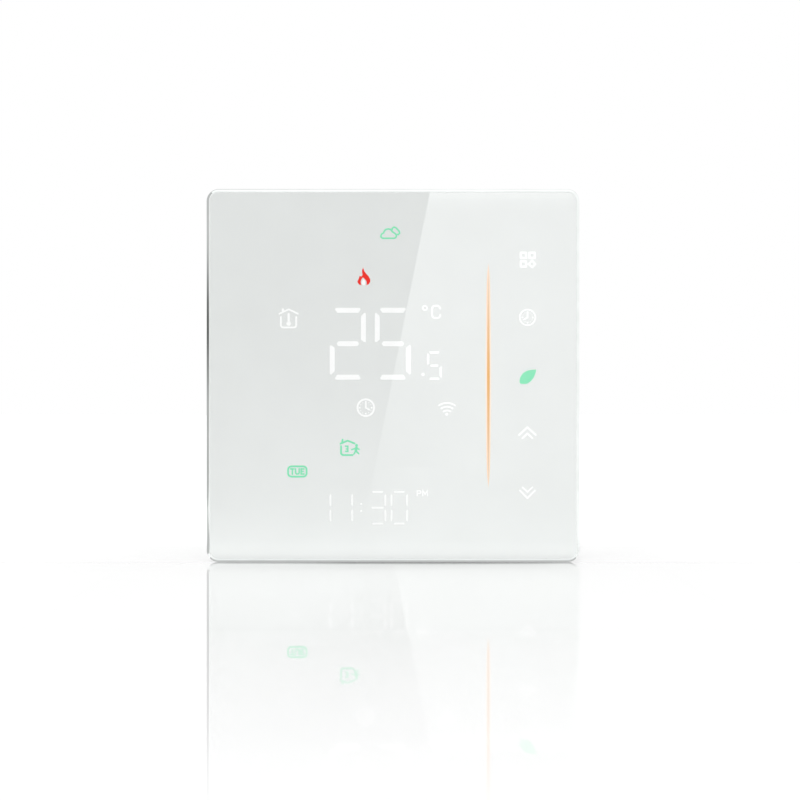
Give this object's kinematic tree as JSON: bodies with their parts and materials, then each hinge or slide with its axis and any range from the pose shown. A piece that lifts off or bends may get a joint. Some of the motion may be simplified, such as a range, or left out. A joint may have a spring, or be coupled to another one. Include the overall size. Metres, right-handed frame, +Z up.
{
  "type": "wall thermostat",
  "caption": "Square glass-fronted touch wall thermostat: lit segment display, column of touch keys, amber light bar, plug-on front and boxed power module with screw terminals.",
  "frame": {"origin": "midway between the two wall-box screws, on the plane of the wall behind the steel plate", "axes": "+X right as seen from the room, +Y into the wall, +Z up; the glass faces -Y"},
  "size_m": [0.086, 0.0373, 0.086],
  "materials": {
    "white_glass": "polished, white print behind",
    "tape": "black acrylic foam tape",
    "film_white": "printed film",
    "film_milk": "milky film",
    "reflector_white": "matt white",
    "light_guide": "clear acrylic, lit amber",
    "white_abs": "fine matt",
    "board_green": "solder mask",
    "board_tan": "paper-phenolic board",
    "board_black": "black solder mask",
    "led_white": "lit",
    "led_green": "lit",
    "led_red": "lit",
    "led_amber": "lit",
    "spring_wire": "bright spring wire",
    "chip_black": "moulded epoxy",
    "shield_tin": "tinned",
    "black_plastic": "matt",
    "zinc_screw": "bright zinc",
    "sensor_epoxy": "dipped epoxy",
    "cell_steel": "nickel plated",
    "galvanised": "galvanised",
    "gold_pin": "gold flashed",
    "terminal_green": "matt",
    "tinned_brass": "tinned",
    "relay_blue": "gloss",
    "relay_dark": "matt",
    "copper": "enamelled wire",
    "soft_iron": "nickel plated",
    "contact_bronze": "phosphor bronze",
    "ferrite": "matt",
    "winding_tape": "polyester tape",
    "cap_sleeve": "shrink sleeve",
    "film_cap_yellow": "moulded box",
    "varistor_blue": "dipped",
    "fuse_green": "lacquered"
  },
  "bodies": {
    "base": {"mounting_plate": "galvanised", "wall_screws": "zinc_screw", "cover_screws": "zinc_screw", "base_cover": "white_abs", "rear_housing": "white_abs", "power_board": "board_tan", "header_base": "black_plastic", "header_pins": "gold_pin", "power_chips": "chip_black", "terminal_block": "terminal_green", "terminal_bars": "tinned_brass", "relay_base": "relay_dark", "relay_cover": "relay_blue", "relay_bobbin": "black_plastic", "relay_winding": "copper", "relay_core": "soft_iron", "relay_yoke": "soft_iron", "relay_fixed_contacts": "contact_bronze", "transformer_core": "ferrite", "transformer_bobbin": "black_plastic", "transformer_winding": "winding_tape", "input_capacitor": "cap_sleeve", "output_capacitor": "cap_sleeve", "film_capacitor": "film_cap_yellow", "varistor": "varistor_blue", "fuse": "fuse_green"},
    "display_unit": {"glass_panel": "white_glass", "panel_tape": "tape", "display_mask": "film_white", "diffuser_sheet": "film_milk", "segment_reflector": "reflector_white", "light_bar_guide": "light_guide", "front_housing": "white_abs", "display_board": "board_green", "white_leds": "led_white", "green_leds": "led_green", "red_led": "led_red", "amber_leds": "led_amber", "touch_springs": "spring_wire", "control_chips": "chip_black", "wifi_board": "board_black", "wifi_shield": "shield_tin", "header_socket": "black_plastic", "board_screws": "zinc_screw", "temperature_sensor": "sensor_epoxy", "backup_battery": "cell_steel"},
    "armature": {"relay_armature": "soft_iron", "relay_contact_spring": "contact_bronze"},
    "screw_1": {"terminal_screw_1": "zinc_screw"},
    "clamp_1": {"terminal_clamp_1": "tinned_brass"},
    "screw_2": {"terminal_screw_2": "zinc_screw"},
    "clamp_2": {"terminal_clamp_2": "tinned_brass"},
    "screw_3": {"terminal_screw_3": "zinc_screw"},
    "clamp_3": {"terminal_clamp_3": "tinned_brass"},
    "screw_4": {"terminal_screw_4": "zinc_screw"},
    "clamp_4": {"terminal_clamp_4": "tinned_brass"},
    "screw_5": {"terminal_screw_5": "zinc_screw"},
    "clamp_5": {"terminal_clamp_5": "tinned_brass"},
    "screw_6": {"terminal_screw_6": "zinc_screw"},
    "clamp_6": {"terminal_clamp_6": "tinned_brass"}
  },
  "joints": [
    {"name": "front_pull_off", "type": "slide", "parent": "base", "child": "display_unit", "axis": [0, -1, 0], "range_m": [0, 0.04]},
    {"name": "relay_pull_in", "type": "hinge", "parent": "base", "child": "armature", "pos_m": [-0.0197, 0.0145, 0.0006], "axis": [0, 0, -1], "range_deg": [0, 3], "stiffness_Nm_per_rad": 0.02, "springref_deg": -5.73},
    {"name": "screw_1_turn", "type": "hinge", "parent": "base", "child": "screw_1", "pos_m": [-0.0155, 0.0118, -0.0157], "axis": [0, -1, 0], "range_deg": [0, 1440]},
    {"name": "clamp_1_rise", "type": "slide", "parent": "base", "child": "clamp_1", "axis": [0, 1, 0], "range_m": [0, 0.002]},
    {"name": "screw_2_turn", "type": "hinge", "parent": "base", "child": "screw_2", "pos_m": [-0.0093, 0.0118, -0.0157], "axis": [0, -1, 0], "range_deg": [0, 1440]},
    {"name": "clamp_2_rise", "type": "slide", "parent": "base", "child": "clamp_2", "axis": [0, 1, 0], "range_m": [0, 0.002]},
    {"name": "screw_3_turn", "type": "hinge", "parent": "base", "child": "screw_3", "pos_m": [-0.0031, 0.0118, -0.0157], "axis": [0, -1, 0], "range_deg": [0, 1440]},
    {"name": "clamp_3_rise", "type": "slide", "parent": "base", "child": "clamp_3", "axis": [0, 1, 0], "range_m": [0, 0.002]},
    {"name": "screw_4_turn", "type": "hinge", "parent": "base", "child": "screw_4", "pos_m": [0.0031, 0.0118, -0.0157], "axis": [0, -1, 0], "range_deg": [0, 1440]},
    {"name": "clamp_4_rise", "type": "slide", "parent": "base", "child": "clamp_4", "axis": [0, 1, 0], "range_m": [0, 0.002]},
    {"name": "screw_5_turn", "type": "hinge", "parent": "base", "child": "screw_5", "pos_m": [0.0093, 0.0118, -0.0157], "axis": [0, -1, 0], "range_deg": [0, 1440]},
    {"name": "clamp_5_rise", "type": "slide", "parent": "base", "child": "clamp_5", "axis": [0, 1, 0], "range_m": [0, 0.002]},
    {"name": "screw_6_turn", "type": "hinge", "parent": "base", "child": "screw_6", "pos_m": [0.0155, 0.0118, -0.0157], "axis": [0, -1, 0], "range_deg": [0, 1440]},
    {"name": "clamp_6_rise", "type": "slide", "parent": "base", "child": "clamp_6", "axis": [0, 1, 0], "range_m": [0, 0.002]}
  ],
  "couplings": [
    {"joint": "screw_1_turn", "follows": "clamp_1_rise", "rad_per_m": 12566},
    {"joint": "screw_2_turn", "follows": "clamp_2_rise", "rad_per_m": 12566},
    {"joint": "screw_3_turn", "follows": "clamp_3_rise", "rad_per_m": 12566},
    {"joint": "screw_4_turn", "follows": "clamp_4_rise", "rad_per_m": 12566},
    {"joint": "screw_5_turn", "follows": "clamp_5_rise", "rad_per_m": 12566},
    {"joint": "screw_6_turn", "follows": "clamp_6_rise", "rad_per_m": 12566}
  ]
}
